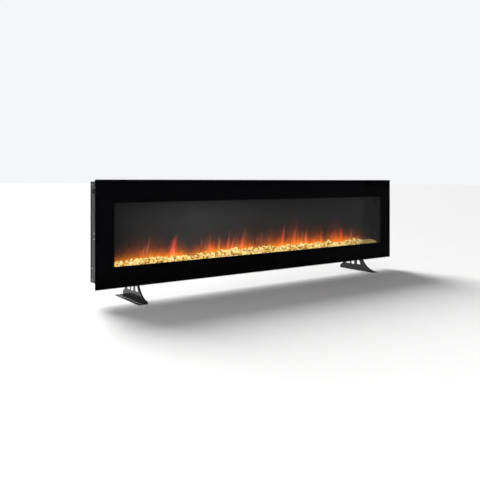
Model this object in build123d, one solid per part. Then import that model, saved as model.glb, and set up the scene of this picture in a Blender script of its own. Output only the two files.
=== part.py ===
from build123d import *
import os
import random
from math import cos, radians, sin

# A slim 72 inch linear electric fireplace, free-standing on two folded steel feet.
# Millimetres. +Z is up, +X runs along the width and the glass faces -Y.
# The origin is on the floor, midway between the ends and midway between the feet's toes.
# Pieces are drawn with Y measured from 67.5 mm behind the glass, and moved to the origin as they are written.

os.makedirs("parts", exist_ok=True)

# ---- driving dimensions ----
PANEL_W = 1829.0  # 72 inch glass front
PANEL_H = 460.0
PANEL_BOTTOM = 70.0  # floor to the glass's lower edge
DEPTH = 105.0  # glass face to the back of the case
GLASS_Y = -67.5  # front face of the glass
FOOT_FRONT, FOOT_REAR = -121.0, 141.0  # toes of each foot
GLASS_T = 4.0
SHEET = 1.2  # case steel
OVERHANG_SIDE = 18.0  # glass past the case at each end
OVERHANG_TOP = 9.0
OVERHANG_BOTTOM = 20.0
MIDDLE_Y = (FOOT_FRONT + FOOT_REAR) / 2  # becomes Y 0 in the written parts
WINDOW_HALF = 829.0  # clear window in the printed border
WINDOW_LOW = 162.0
WINDOW_HIGH = 431.0

# ---- places worked out from them ----
GLASS_BACK_Y = GLASS_Y + GLASS_T
BACK_Y = GLASS_Y + DEPTH  # rear face of the case
PANEL_TOP = PANEL_BOTTOM + PANEL_H
COVER_X = PANEL_W / 2 - OVERHANG_SIDE  # rear cover's outside, half width
COVER_LOW = PANEL_BOTTOM + OVERHANG_BOTTOM
COVER_HIGH = PANEL_TOP - OVERHANG_TOP
CASE_X = COVER_X - SHEET  # wall plates' outside, half width
CASE_LOW = COVER_LOW + SHEET
CASE_HIGH = COVER_HIGH - SHEET
FASCIA_Y = GLASS_BACK_Y + 11.5  # front face of the case behind the glass
WALL_FRONT_Y = FASCIA_Y + SHEET
WALL_BACK_Y = BACK_Y - SHEET
LIP = 12.0  # folded lips that the screws go through
FIREBOX_LOW = 150.0
FIREBOX_HIGH = 436.0
LINER_X = WINDOW_HALF + 5.0
SCREEN_Y = -7.0
SCREEN_T = 3.0


# ---- shapes shared by the sheet-metal parts ----
def box(x0, x1, y0, y1, z0, z1):
    """A box between two corners."""
    middle = ((x0 + x1) / 2, (y0 + y1) / 2, (z0 + z1) / 2)
    return Pos(*middle) * Box(x1 - x0, y1 - y0, z1 - z0)


def rect(u0, u1, v0, v1, radius=0.0):
    """A rectangle between two corners in a sketch, with rounded corners if asked."""
    width, height = u1 - u0, v1 - v0
    shape = RectangleRounded(width, height, radius) if radius else Rectangle(width, height)
    return Pos((u0 + u1) / 2, (v0 + v1) / 2) * shape


def slab_xz(sketch, y_front, thickness):
    """A sketch in X and Z, made thickness deep from y_front towards the back."""
    return extrude(Plane.XZ.offset(-y_front - thickness) * sketch, amount=thickness)


def slab_yz(sketch, x_low, thickness):
    """A sketch in Y and Z, made thickness wide from x_low towards +X."""
    return extrude(Plane.YZ.offset(x_low) * sketch, amount=thickness)


def slab_xy(sketch, z_low, thickness):
    """A sketch in X and Y, made thickness high from z_low upwards."""
    return extrude(Plane.XY.offset(z_low) * sketch, amount=thickness)


def rod(start, direction, radius, length):
    """A round bar from a point along a direction."""
    return Plane(origin=start, z_dir=direction) * Cylinder(
        radius, length, align=(Align.CENTER, Align.CENTER, Align.MIN)
    )


def tube(start, direction, outer, inner, length):
    """A round tube from a point along a direction."""
    return rod(start, direction, outer, length) - rod(start, direction, inner, length)


def mirrored(shape):
    """The same piece on the other end of the fireplace."""
    return mirror(shape, about=Plane.YZ)


def save(node, *pieces):
    """Writes one node, whose pieces are separate solids."""
    solids = [solid for piece in pieces for solid in piece.solids()]
    export_step(Pos(0, -MIDDLE_Y, 0) * Compound(solids), f"parts/{node}.step")


SCREW_HEAD_R = 3.4
SCREW_HEAD_H = 1.8
SCREW_R = 1.5
SCREW_HOLE_R = 1.7
SCREW_LENGTH = 6.0


def screw(point, outward, head_r=SCREW_HEAD_R, shank_r=SCREW_R, length=SCREW_LENGTH):
    """A pan-head screw with a cross recess, its head standing on the point."""
    head_h = SCREW_HEAD_H * head_r / SCREW_HEAD_R
    head = Cylinder(head_r, head_h, align=(Align.CENTER, Align.CENTER, Align.MIN))
    head = fillet(head.edges().sort_by(Axis.Z)[-1], head_h * 0.6)
    slot = Pos(0, 0, head_h) * Box(head_r * 1.1, head_r * 0.26, head_h)
    head -= slot + Rot(0, 0, 90) * slot
    shank = Cylinder(shank_r, length, align=(Align.CENTER, Align.CENTER, Align.MAX))
    return Plane(origin=point, z_dir=outward) * (head + shank)


def spread(low, high, count):
    """Evenly spaced values from low to high."""
    return [low + (high - low) * i / (count - 1) for i in range(count)]


# ---- the glass front, which lifts off its hooks ----
EDGE_ARRIS = 0.7
GLASS_CORNER_R = 5.0
PRINT_T = 0.3
TAPE_T = 1.0
RAIL_FACE_Y = GLASS_BACK_Y + PRINT_T + TAPE_T
RAIL_HEIGHT = 30.0
RAIL_DEPTH = 8.0
CROSS_RAIL_HALF = 850.0
SIDE_RAIL_X = 858.0
SIDE_RAIL_LOW, SIDE_RAIL_HIGH = 134.0, 474.0
TOP_RAIL_LOW = 480.0
BOTTOM_RAIL_LOW = 98.0
HOOK_X = 872.0
HOOK_HEIGHTS = (200.0, 390.0)
HOOK_T = 3.0
HOOK_NECK = 10.0
HOOK_LIP_DROP = 10.0
HOOK_LIFT = 13.0


def glass_front():
    outline = Pos(0, PANEL_BOTTOM + PANEL_H / 2) * RectangleRounded(PANEL_W, PANEL_H, GLASS_CORNER_R)
    glass = slab_xz(outline, GLASS_Y, GLASS_T)
    faces = glass.faces().sort_by(Axis.Y)
    return chamfer(faces[0].edges() + faces[-1].edges(), EDGE_ARRIS)


def border_print():
    margin = 1.5
    outside = Pos(0, PANEL_BOTTOM + PANEL_H / 2) * RectangleRounded(
        PANEL_W - 2 * margin, PANEL_H - 2 * margin, GLASS_CORNER_R - margin
    )
    window = rect(-WINDOW_HALF, WINDOW_HALF, WINDOW_LOW, WINDOW_HIGH, 3.0)
    return slab_xz(outside - window, GLASS_BACK_Y, PRINT_T)


def panel_tapes():
    inset = 4.0
    y0, y1 = GLASS_BACK_Y + PRINT_T, RAIL_FACE_Y
    half = CROSS_RAIL_HALF - inset
    strips = [
        box(-half, half, y0, y1, low + inset, low + RAIL_HEIGHT - inset)
        for low in (TOP_RAIL_LOW, BOTTOM_RAIL_LOW)
    ]
    side = box(
        SIDE_RAIL_X + inset,
        SIDE_RAIL_X + RAIL_HEIGHT - inset,
        y0,
        y1,
        SIDE_RAIL_LOW + inset,
        SIDE_RAIL_HIGH - inset,
    )
    return strips + [side, mirrored(side)]


def cross_rail(low, web_low):
    """An angle strip along the glass, its web at the outer edge."""
    face = rect(RAIL_FACE_Y, RAIL_FACE_Y + SHEET, low, low + RAIL_HEIGHT)
    web = rect(RAIL_FACE_Y, RAIL_FACE_Y + RAIL_DEPTH, web_low, web_low + SHEET)
    return slab_yz(face + web, -CROSS_RAIL_HALF, 2 * CROSS_RAIL_HALF)


def side_rail():
    outer_x = SIDE_RAIL_X + RAIL_HEIGHT
    face = rect(SIDE_RAIL_X, outer_x, RAIL_FACE_Y, RAIL_FACE_Y + SHEET)
    web = rect(outer_x - SHEET, outer_x, RAIL_FACE_Y, RAIL_FACE_Y + RAIL_DEPTH)
    return slab_xy(face + web, SIDE_RAIL_LOW, SIDE_RAIL_HIGH - SIDE_RAIL_LOW)


def hook(height):
    """A J-shaped hook: base on the side rail, neck through the fascia's slot, lip behind it."""
    base_y = RAIL_FACE_Y + SHEET
    lip_y = WALL_FRONT_Y + 0.6
    base = rect(base_y, base_y + 2.5, height - 6, height + 20)
    neck = rect(base_y, lip_y + 3, height, height + HOOK_NECK)
    lip = rect(lip_y, lip_y + 3, height - HOOK_LIP_DROP, height + HOOK_NECK)
    profile = base + neck + lip
    return slab_yz(profile, HOOK_X - HOOK_T / 2, HOOK_T)


save("front_glass", glass_front())
save("border_print", border_print())
save("panel_tape", *panel_tapes())
top_rail = cross_rail(TOP_RAIL_LOW, TOP_RAIL_LOW + RAIL_HEIGHT - SHEET)
save("panel_cross_rails", top_rail, cross_rail(BOTTOM_RAIL_LOW, BOTTOM_RAIL_LOW))
save("panel_side_rails", side_rail(), mirrored(side_rail()))
hooks = [hook(height) for height in HOOK_HEIGHTS]
save("panel_hooks", *hooks, *[mirrored(one) for one in hooks])


# ---- the case: fascia, walls, end plates and rear cover ----
COVER_FLANGE = 14.0  # the rear cover wraps this far round the walls
COVER_BEND_R = 2.0
REAR_SCREW_XS = spread(-820.0, 820.0, 9)
REAR_SCREW_ZS = spread(190.0, 420.0, 3)
TOP_LIP_Z = CASE_HIGH - SHEET - LIP / 2
BOTTOM_LIP_Z = CASE_LOW + SHEET + LIP / 2
END_LIP_X = CASE_X - SHEET - LIP / 2
FASCIA_SIDE_X = 840.0
DISPLAY_X = (300.0, 400.0)
DISPLAY_Z = (470.0, 492.0)
OUTLET_X = 140.0
OUTLET_Y = (-47.0, -17.0)
SLOT_CLEAR = 1.5

GRILLE_SLOT = (40.0, 4.0)
HEATER_INTAKE = GridLocations(50.0, 9.0, 7, 5)
LAMP_INTAKE = GridLocations(50.0, 9.0, 5, 3)
HEATER_INTAKE_Z = 472.0
LAMP_INTAKE_X = 480.0
LAMP_INTAKE_Z = 128.0
TOP_VENT_X = 610.0
KEYHOLE_X, KEYHOLE_Z = 640.0, 380.0
WALL_BOLT_X, WALL_BOLT_Z = 400.0, (200.0, 400.0)
RIVNUT_R = 4.5
SERVICE_X = (540.0, 720.0)
SERVICE_Z = (438.0, 500.0)
SERVICE_RIM = 14.0

SIDE_VENT_Y = (-38.0, 12.0)
SIDE_VENT_Z = (465.0, 492.0)
BRACKET_Z = 290.0
BRACKET_HOLE_Z = (246.0, 334.0)
BRACKET_Y = -12.0
ACCESS_Y = (-42.0, 18.0)
ACCESS_Z = (98.0, 158.0)
ACCESS_HOLE_R = 24.0
END_SCREW_Y = (-36.0, 14.0)
END_SCREW_Z = (CASE_LOW + 14.0, CASE_HIGH - 12.0)
GLAND_Y, GLAND_Z = -14.0, 116.0
GLAND_R = 8.0
ROCKER_Y, ROCKER_Z = -14.0, 420.0
ROCKER_HOLE = (13.0, 19.0)
BUTTON_Y = -14.0
BUTTON_ZS = (346.0, 364.0, 382.0)


def grid_slots(grid, u, v, size=GRILLE_SLOT):
    """Rows of round-ended slots about a point in a sketch."""
    return [Pos(u, v) * place * SlotOverall(*size) for place in grid.locations]


def holes(points, radius):
    return [Pos(*point) * Circle(radius) for point in points]


def fascia_strip(u0, u1, v0, v1, cuts=()):
    sketch = rect(u0, u1, v0, v1)
    if cuts:
        sketch = sketch - list(cuts)
    return slab_xz(sketch, FASCIA_Y, SHEET)


def fascia_side():
    """The right-hand upright, with a slot above each hook's resting edge."""
    x0, x1 = HOOK_X - HOOK_T / 2 - SLOT_CLEAR, HOOK_X + HOOK_T / 2 + SLOT_CLEAR
    slot_height = HOOK_LIFT + HOOK_NECK + 1
    slots = [rect(x0, x1, height, height + slot_height) for height in HOOK_HEIGHTS]
    return fascia_strip(FASCIA_SIDE_X, CASE_X, FIREBOX_LOW, FIREBOX_HIGH, slots)


def long_wall(low, lip_z, cuts):
    """A top or bottom wall along the whole case, with a folded lip at the front and the back."""
    wall = rect(-CASE_X, CASE_X, WALL_FRONT_Y, WALL_BACK_Y) - cuts
    plate = slab_xy(wall, low, SHEET)
    z0, z1 = lip_z - LIP / 2, lip_z + LIP / 2
    lip_x = END_LIP_X - LIP / 2
    front = slab_xz(rect(-lip_x, lip_x, z0, z1), WALL_FRONT_Y, SHEET)
    screw_holes = holes([(x, lip_z) for x in REAR_SCREW_XS], SCREW_HOLE_R)
    back = slab_xz(rect(-lip_x, lip_x, z0, z1) - screw_holes, WALL_BACK_Y - SHEET, SHEET)
    return plate + front + back


def end_plate(side, cuts):
    """An end of the case: a pan whose lips face inwards. side is +1 at +X and -1 at -X."""
    face_x = CASE_X - SHEET
    lip_low, lip_high = BOTTOM_LIP_Z + LIP / 2 + 1, TOP_LIP_Z - LIP / 2 - 1
    y0, y1 = WALL_FRONT_Y, WALL_BACK_Y
    plate = slab_yz(rect(y0, y1, CASE_LOW + SHEET, CASE_HIGH - SHEET) - cuts, face_x, SHEET)
    rear_holes = holes([(END_LIP_X, z) for z in REAR_SCREW_ZS], SCREW_HOLE_R)
    rear_lip = rect(END_LIP_X - LIP / 2, face_x, lip_low, lip_high)
    pan = plate + slab_xz(rear_lip - rear_holes, y1 - SHEET, SHEET)
    pan += slab_xz(rear_lip, y0, SHEET)
    for low in (CASE_LOW + SHEET, CASE_HIGH - 2 * SHEET):
        pan += box(END_LIP_X - LIP / 2, face_x, y0 + 2, y1 - 2, low, low + SHEET)
    return pan if side > 0 else mirrored(pan)


def rear_cover():
    outside = box(-COVER_X, COVER_X, BACK_Y - COVER_FLANGE, BACK_Y, COVER_LOW, COVER_HIGH)
    bends = outside.edges().filter_by(Axis.Y) + outside.faces().sort_by(Axis.Y)[-1].edges()
    outside = fillet(bends, COVER_BEND_R)
    inside = box(-CASE_X, CASE_X, BACK_Y - COVER_FLANGE, WALL_BACK_Y, CASE_LOW, CASE_HIGH)
    keyhole = Circle(6.5) + Pos(0, 8) * rect(-3, 3, -8, 4) + Pos(0, 12) * Circle(3)
    cuts = grid_slots(HEATER_INTAKE, 0, HEATER_INTAKE_Z)
    for x in (-LAMP_INTAKE_X, LAMP_INTAKE_X):
        cuts += grid_slots(LAMP_INTAKE, x, LAMP_INTAKE_Z)
    cuts += [Pos(x, KEYHOLE_Z) * keyhole for x in (-KEYHOLE_X, KEYHOLE_X)]
    cuts += holes([(x, z) for x in (-WALL_BOLT_X, WALL_BOLT_X) for z in WALL_BOLT_Z], RIVNUT_R)
    cuts += holes([(x, z) for x in REAR_SCREW_XS for z in (TOP_LIP_Z, BOTTOM_LIP_Z)], SCREW_HOLE_R)
    cuts += holes([(x, z) for x in (-END_LIP_X, END_LIP_X) for z in REAR_SCREW_ZS], SCREW_HOLE_R)
    service_x = (SERVICE_X[0] + SERVICE_RIM, SERVICE_X[1] - SERVICE_RIM)
    cuts += [rect(*service_x, SERVICE_Z[0] + 8, SERVICE_Z[1] - 8, 3)]
    cuts += holes(service_screw_points(), SCREW_HOLE_R)
    tool = slab_xz(Sketch() + cuts, BACK_Y - 2 * SHEET, 3 * SHEET)
    return outside - inside - tool


def service_screw_points():
    xs = (SERVICE_X[0] + SERVICE_RIM / 2, SERVICE_X[1] - SERVICE_RIM / 2)
    zs = (SERVICE_Z[0] + 10, SERVICE_Z[1] - 10)
    return [(x, z) for x in xs for z in zs]


def service_cover():
    sketch = rect(*SERVICE_X, *SERVICE_Z, 4) - holes(service_screw_points(), SCREW_HOLE_R)
    slots = GridLocations(30.0, 10.0, 4, 3)
    middle = (sum(SERVICE_X) / 2, sum(SERVICE_Z) / 2)
    return slab_xz(sketch - grid_slots(slots, *middle, (22.0, 3.0)), BACK_Y, SHEET)


def access_screw_points():
    inset = 5.0
    ys = (ACCESS_Y[0] + inset, ACCESS_Y[1] - inset)
    zs = (ACCESS_Z[0] + inset, ACCESS_Z[1] - inset)
    return [(y, z) for y in ys for z in zs]


end_screws = [(y, z) for y in END_SCREW_Y for z in (END_SCREW_Z[1],)]
bracket_screws = [(BRACKET_Y, BRACKET_Z - 12), (BRACKET_Y, BRACKET_Z + 12)]
vent_hole = rect(*SIDE_VENT_Y, *SIDE_VENT_Z, 4)
shared_cuts = [vent_hole] + holes(end_screws + bracket_screws, SCREW_HOLE_R)
shared_cuts += holes([(BRACKET_Y, z) for z in BRACKET_HOLE_Z], 2.75)
access_middle = (sum(ACCESS_Y) / 2, sum(ACCESS_Z) / 2)
left_cuts = shared_cuts + holes([access_middle], ACCESS_HOLE_R) + holes(access_screw_points(), SCREW_HOLE_R)
rocker_cut = Pos(ROCKER_Y, ROCKER_Z) * Rectangle(*ROCKER_HOLE)
BUTTON_HOLE_R = 5.2
right_cuts = shared_cuts + [rocker_cut] + holes([(BUTTON_Y, z) for z in BUTTON_ZS], BUTTON_HOLE_R)
right_cuts += holes([(GLAND_Y, GLAND_Z)], GLAND_R)

FOOT_X = 703.0  # upright web of each foot, from the middle
FOOT_BOLT_YS = (-14.0, 14.0)
FOOT_BOLT_X = FOOT_X + 16.0
FOOT_BOLT_R = 2.5
foot_bolts = [(side * FOOT_BOLT_X, y) for side in (-1, 1) for y in FOOT_BOLT_YS]
NUT_R = 4.0

top_cuts = [rect(-OUTLET_X, OUTLET_X, *OUTLET_Y, 3)]
for x in (-TOP_VENT_X, TOP_VENT_X):
    top_cuts += grid_slots(GridLocations(50.0, 9.0, 4, 4), x, -6)
bottom_cuts = holes(foot_bolts, NUT_R)
bottom_cuts += grid_slots(GridLocations(50.0, 9.0, 5, 2), 0, -30)

fascia_top = fascia_strip(
    -CASE_X, CASE_X, FIREBOX_HIGH, CASE_HIGH, [rect(*DISPLAY_X, *DISPLAY_Z, 2)]
)
save("fascia_top", fascia_top)
save("fascia_bottom", fascia_strip(-CASE_X, CASE_X, CASE_LOW, FIREBOX_LOW))
save("fascia_sides", fascia_side(), mirrored(fascia_side()))
save("top_wall", long_wall(CASE_HIGH - SHEET, TOP_LIP_Z, top_cuts))
save("bottom_wall", long_wall(CASE_LOW, BOTTOM_LIP_Z, bottom_cuts))
save("left_end_plate", end_plate(-1, left_cuts))
save("right_end_plate", end_plate(1, right_cuts))
save("rear_cover", rear_cover())
save("service_cover", service_cover())


def side_vent():
    """A moulded louvre pressed into the end plate: a rim outside, a frame inside and slanted blades."""
    outer_x = CASE_X + 1.2
    clear = 0.3
    (y0, y1), (z0, z1) = SIDE_VENT_Y, SIDE_VENT_Z
    rim = rect(y0 - 3, y1 + 3, z0 - 3, z1 + 3, 5)
    frame = rect(y0 + clear, y1 - clear, z0 + clear, z1 - clear, 3.7)
    opening = rect(y0 + 3, y1 - 3, z0 + 3, z1 - 3, 2)
    vent = slab_yz(rim - opening, CASE_X, 1.2) + slab_yz(frame - opening, CASE_X - 7, 7)
    for z in spread(z0 + 6.5, z1 - 6.5, 3):
        blade = Pos(outer_x - 4.6, (y0 + y1) / 2, z) * Rot(0, 35, 0) * Box(7, y1 - y0 - 4, 1.2)
        vent += blade
    return vent


def recess_bracket():
    """A small angle on each end for fixing the case between wall studs."""
    t = 1.5
    low, high = BRACKET_Z - 24, BRACKET_Z + 24
    flat = rect(BRACKET_Y - 11, BRACKET_Y + 11, low, high, 3) - holes(bracket_screws, SCREW_HOLE_R)
    return slab_yz(flat, CASE_X, t)


def side_access_cover():
    sketch = rect(*ACCESS_Y, *ACCESS_Z, 3) - holes(access_screw_points(), SCREW_HOLE_R)
    return mirrored(slab_yz(sketch, CASE_X, SHEET))


def outlet_grille():
    """The warm-air grille in the top wall: a flanged frame with long blades and short ribs."""
    t = 1.4
    rim = rect(-OUTLET_X - 5, OUTLET_X + 5, OUTLET_Y[0] - 2, OUTLET_Y[1] + 5, 3)
    opening = rect(-OUTLET_X + 3, OUTLET_X - 3, OUTLET_Y[0] + 3, OUTLET_Y[1] - 3, 1.5)
    frame = rect(-OUTLET_X + 0.3, OUTLET_X - 0.3, OUTLET_Y[0] + 0.3, OUTLET_Y[1] - 0.3, 2.7)
    grille = slab_xy(rim - opening, CASE_HIGH, t) + slab_xy(frame - opening, CASE_HIGH - 5, 5)
    for y in spread(OUTLET_Y[0] + 7, OUTLET_Y[1] - 7, 4):
        grille += Pos(0, y, CASE_HIGH - 1.8) * Rot(-30, 0, 0) * Box(2 * OUTLET_X - 4, 1.2, 5.5)
    for x in spread(-OUTLET_X * 0.6, OUTLET_X * 0.6, 4):
        grille += box(x - 0.8, x + 0.8, OUTLET_Y[0] + 2, OUTLET_Y[1] - 2, CASE_HIGH - 4.6, CASE_HIGH - 3.2)
    return grille


def rivet_nut(point, inward, bore_r, body_r, length):
    """A blind threaded insert, its flange outside the sheet."""
    body = Plane(origin=point, z_dir=inward) * (
        Cylinder(body_r - 0.1, length, align=(Align.CENTER, Align.CENTER, Align.MIN))
        + Cylinder(body_r + 2, 0.8, align=(Align.CENTER, Align.CENTER, Align.MAX))
    )
    through = [point[i] - 2 * inward[i] for i in range(3)]
    return body - rod(through, inward, bore_r, length + 4)


WALL_BOLT_R = 3.0
wall_nuts = [
    rivet_nut((x, BACK_Y, z), (0, -1, 0), WALL_BOLT_R, RIVNUT_R, 14)
    for x in (-WALL_BOLT_X, WALL_BOLT_X)
    for z in WALL_BOLT_Z
]


def foot_nut(point):
    """A clinch nut inside the bottom wall: collar in the sheet, body above it."""
    x, y = point
    collar = rod((x, y, CASE_LOW), (0, 0, 1), NUT_R - 0.1, SHEET)
    body = rod((x, y, CASE_LOW + SHEET), (0, 0, 1), NUT_R + 1.5, 6)
    return collar + body - rod((x, y, CASE_LOW - 1), (0, 0, 1), FOOT_BOLT_R + 0.1, 12)


def cord_gland():
    """The bush that the supply cord leaves through: flange, body in the plate and a lock nut inside."""
    x = CASE_X
    start = (x - 14, GLAND_Y, GLAND_Z)
    bush = rod(start, (1, 0, 0), GLAND_R - 0.15, 14) + rod((x, GLAND_Y, GLAND_Z), (1, 0, 0), 12, 3)
    bush += rod((x + 3, GLAND_Y, GLAND_Z), (1, 0, 0), 9, 4)
    nut = Plane(origin=(x - SHEET - 5, GLAND_Y, GLAND_Z), x_dir=(0, 1, 0), z_dir=(1, 0, 0)) * extrude(
        RegularPolygon(12, 6), amount=5
    )
    return bush + nut - rod((x - 20, GLAND_Y, GLAND_Z), (1, 0, 0), CORD_R, 40)


CORD_R = 4.0
save("side_vents", side_vent(), mirrored(side_vent()))
save("recess_brackets", recess_bracket(), mirrored(recess_bracket()))
save("side_access_cover", side_access_cover())
save("outlet_grille", outlet_grille())
save("rivet_nuts", *wall_nuts, *[foot_nut(point) for point in foot_bolts])
save("cord_gland", cord_gland())

case_screws = [screw((x, BACK_Y, z), (0, 1, 0)) for x in REAR_SCREW_XS for z in (TOP_LIP_Z, BOTTOM_LIP_Z)]
case_screws += [screw((x, BACK_Y, z), (0, 1, 0)) for x in (-END_LIP_X, END_LIP_X) for z in REAR_SCREW_ZS]
case_screws += [screw((x, BACK_Y + SHEET, z), (0, 1, 0)) for x, z in service_screw_points()]
for side in (-1, 1):
    case_screws += [screw((side * CASE_X, y, z), (side, 0, 0)) for y, z in end_screws]
    case_screws += [screw((side * (CASE_X + 1.5), y, z), (side, 0, 0)) for y, z in bracket_screws]
case_screws += [screw((-CASE_X - SHEET, y, z), (-1, 0, 0)) for y, z in access_screw_points()]
save("case_screws", *case_screws)


# ---- the feet ----
FOOT_T = 1.2
FOOT_FLANGE = 42.0
FOOT_TOP_FLANGE = 30.0
PAD_T = 0.5
TOE_H = 10.0
REAR_TOE_H = 14.0
RIM = 8.0
FOOT_TOP = CASE_LOW
FOOT_FRONT_TOP_Y = -28.0
FOOT_REAR_TOP_Y = 22.0
FOOT_HOLE_R = 8.0
FOOT_HOLE_PITCH = 32.0
FOOT_HOLE_COUNT = 8
FOOT_HOLE_FIRST_Y = -97.0
FOOT_HOLE_X = FOOT_X + 26.0
PAD_LENGTH = 20.0
PAD_WIDTH = 14.0
front_curve = ((FOOT_FRONT, PAD_T + TOE_H), (-60.0, 38.0), (FOOT_FRONT_TOP_Y, FOOT_TOP))


def foot_web():
    """The upright: a straight slope behind, a hollow curve in front and three cut-outs near the top."""
    knee_z = COVER_LOW - 0.6
    outline = Polyline(
        (FOOT_FRONT, PAD_T),
        (FOOT_REAR, PAD_T),
        (FOOT_REAR, PAD_T + REAR_TOE_H),
        (46.0, knee_z),
        (FOOT_REAR_TOP_Y, knee_z),
        (FOOT_REAR_TOP_Y, FOOT_TOP),
    )
    top = Line((FOOT_REAR_TOP_Y, FOOT_TOP), front_curve[2])
    curve = ThreePointArc(front_curve[2], front_curve[1], front_curve[0])
    toe = Line(front_curve[0], (FOOT_FRONT, PAD_T))
    web = make_face(outline + top + curve + toe)
    rear_window = make_face(Polyline((61, 34), (98, 34), (61, 64), close=True))
    middle_window = rect(26, 48, 33, 76)
    front_window = make_face(Polyline((-24, 36), (4, 36), (4, 76), (-5, 76), close=True))
    for window in (rear_window, middle_window, front_window):
        web -= fillet(window.vertices(), 3)
    return slab_yz(web, FOOT_X, FOOT_T)


def foot():
    """A folded foot: upright, rim along its front curve, base flange with holes and top flange."""
    web = foot_web()
    toe, middle, head = front_curve
    inner_toe = (toe[0], toe[1] - FOOT_T)
    inner_middle = (middle[0] + 1.0, middle[1] - 1.1)
    inner_head = (head[0] + FOOT_T, head[1])
    curves = ThreePointArc(*front_curve) + ThreePointArc(inner_head, inner_middle, inner_toe)
    band = make_face(curves + Line(head, inner_head) + Line(inner_toe, toe))
    rim = slab_yz(band, FOOT_X, RIM)
    outer_x = FOOT_X + FOOT_FLANGE
    base = rect(FOOT_X, outer_x, FOOT_FRONT, FOOT_REAR, 6)
    base += rect(FOOT_X, FOOT_X + 10, FOOT_FRONT, FOOT_REAR)
    ys = [FOOT_HOLE_FIRST_Y + i * FOOT_HOLE_PITCH for i in range(FOOT_HOLE_COUNT)]
    base -= holes([(FOOT_HOLE_X, y) for y in ys], FOOT_HOLE_R)
    top = rect(FOOT_X, FOOT_X + FOOT_TOP_FLANGE, FOOT_FRONT_TOP_Y, FOOT_REAR_TOP_Y)
    top -= holes([(FOOT_BOLT_X, y) for y in FOOT_BOLT_YS], FOOT_BOLT_R + 0.3)
    return web + rim + slab_xy(base, PAD_T, FOOT_T) + slab_xy(top, FOOT_TOP - FOOT_T, FOOT_T)


def foot_pad(y):
    sketch = rect(FOOT_X + 2, FOOT_X + 2 + PAD_WIDTH, y - PAD_LENGTH / 2, y + PAD_LENGTH / 2, 3)
    return slab_xy(sketch, 0, PAD_T)


right_foot = foot()
pads = [foot_pad(y) for y in (FOOT_FRONT + PAD_LENGTH / 2 + 3, FOOT_REAR - PAD_LENGTH / 2 - 3)]
foot_screws = [
    screw((x, y, FOOT_TOP - FOOT_T), (0, 0, -1), head_r=5.0, shank_r=FOOT_BOLT_R, length=11)
    for x, y in foot_bolts
]
save("foot_right", right_foot)
save("foot_left", mirrored(right_foot))
save("foot_pads", *pads, *[mirrored(pad) for pad in pads])
save("foot_screws", *foot_screws)


# ---- the firebox: deck, side liners, ember tray and frosted screen ----
DECK_T = 1.0
DECK_TOP = FIREBOX_HIGH + DECK_T
DECK_X = END_LIP_X - LIP / 2 - 1
WIRE_X, WIRE_Y = 862.0, -2.0
CHANNEL_Y = (-9.0, -2.0)
TRAY_X = LINER_X - 1
TRAY_FRONT_Y, TRAY_STEP_Y, TRAY_BACK_Y = -49.5, -30.5, -10.0
TRAY_STEP_H = 14.0
TRAY_T = 2.0
TRAY_WALL = 1.5
RIB_XS = spread(-690.0, 690.0, 7)
EMBER_RAIL_Y = (-40.0, -20.0)
EMBER_RAIL_Z = 104.0
CRYSTAL_R = 6.6
CRYSTAL_H = 15.0
CRYSTAL_PITCH = 20.0
CRYSTAL_COUNT = 82


def mid_deck():
    deck = rect(-DECK_X, DECK_X, WALL_FRONT_Y, WALL_BACK_Y) - holes([(WIRE_X, WIRE_Y)], 4.5)
    return slab_xy(deck, FIREBOX_HIGH, DECK_T)


def side_liner():
    """A sheet closing the firebox's end, with a lip turned outwards behind the fascia."""
    plate = rect(LINER_X, LINER_X + 1, WALL_FRONT_Y, CHANNEL_Y[0] - 0.4)
    lip = rect(LINER_X, LINER_X + 14, WALL_FRONT_Y, WALL_FRONT_Y + 1)
    return slab_xy(plate + lip, FIREBOX_LOW, FIREBOX_HIGH - FIREBOX_LOW)


def screen_channel(closed_z, open_z):
    """A U-shaped strip that holds the screen's edge."""
    y0, y1 = CHANNEL_Y
    low, high = min(closed_z, open_z), max(closed_z, open_z)
    outside = rect(y0, y1, low, high)
    shift = SHEET if closed_z < open_z else -SHEET
    hollow = rect(y0 + SHEET, y1 - SHEET, low + shift, high + shift)
    return slab_yz(outside - hollow, -850, 1700)


def ember_tray():
    """A clear moulded tray in two steps, closed at its ends."""
    low, step = FIREBOX_LOW, FIREBOX_LOW + TRAY_STEP_H
    front, middle, back = TRAY_FRONT_Y, TRAY_STEP_Y, TRAY_BACK_Y
    profile = rect(front, middle + TRAY_WALL, low, low + TRAY_T)
    profile += rect(front, front + TRAY_WALL, low, low + 7)
    profile += rect(middle, middle + TRAY_WALL, low, step + TRAY_T)
    profile += rect(middle, back, step, step + TRAY_T)
    profile += rect(back - TRAY_WALL, back, low, step + 8)
    end = rect(front, middle + TRAY_WALL, low, low + 7) + rect(middle, back, low, step + 8)
    tray = slab_yz(profile, -TRAY_X, 2 * TRAY_X)
    return tray + slab_yz(end, -TRAY_X, TRAY_WALL) + slab_yz(end, TRAY_X - TRAY_WALL, TRAY_WALL)


def tray_rib(x):
    """An upright under the tray, with a window for the lamp rail and flanges above and below."""
    low = CASE_LOW + SHEET
    window = rect(EMBER_RAIL_Y[0] - 0.2, EMBER_RAIL_Y[1] + 0.2, EMBER_RAIL_Z, EMBER_RAIL_Z + 14)
    plate = slab_yz(rect(-46, 0, low, FIREBOX_LOW) - window, x, SHEET)
    plate += box(x, x + 12, -46, -2, low, low + SHEET)
    return plate + box(x, x + 12, -46, -2, FIREBOX_LOW - SHEET, FIREBOX_LOW)


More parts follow.
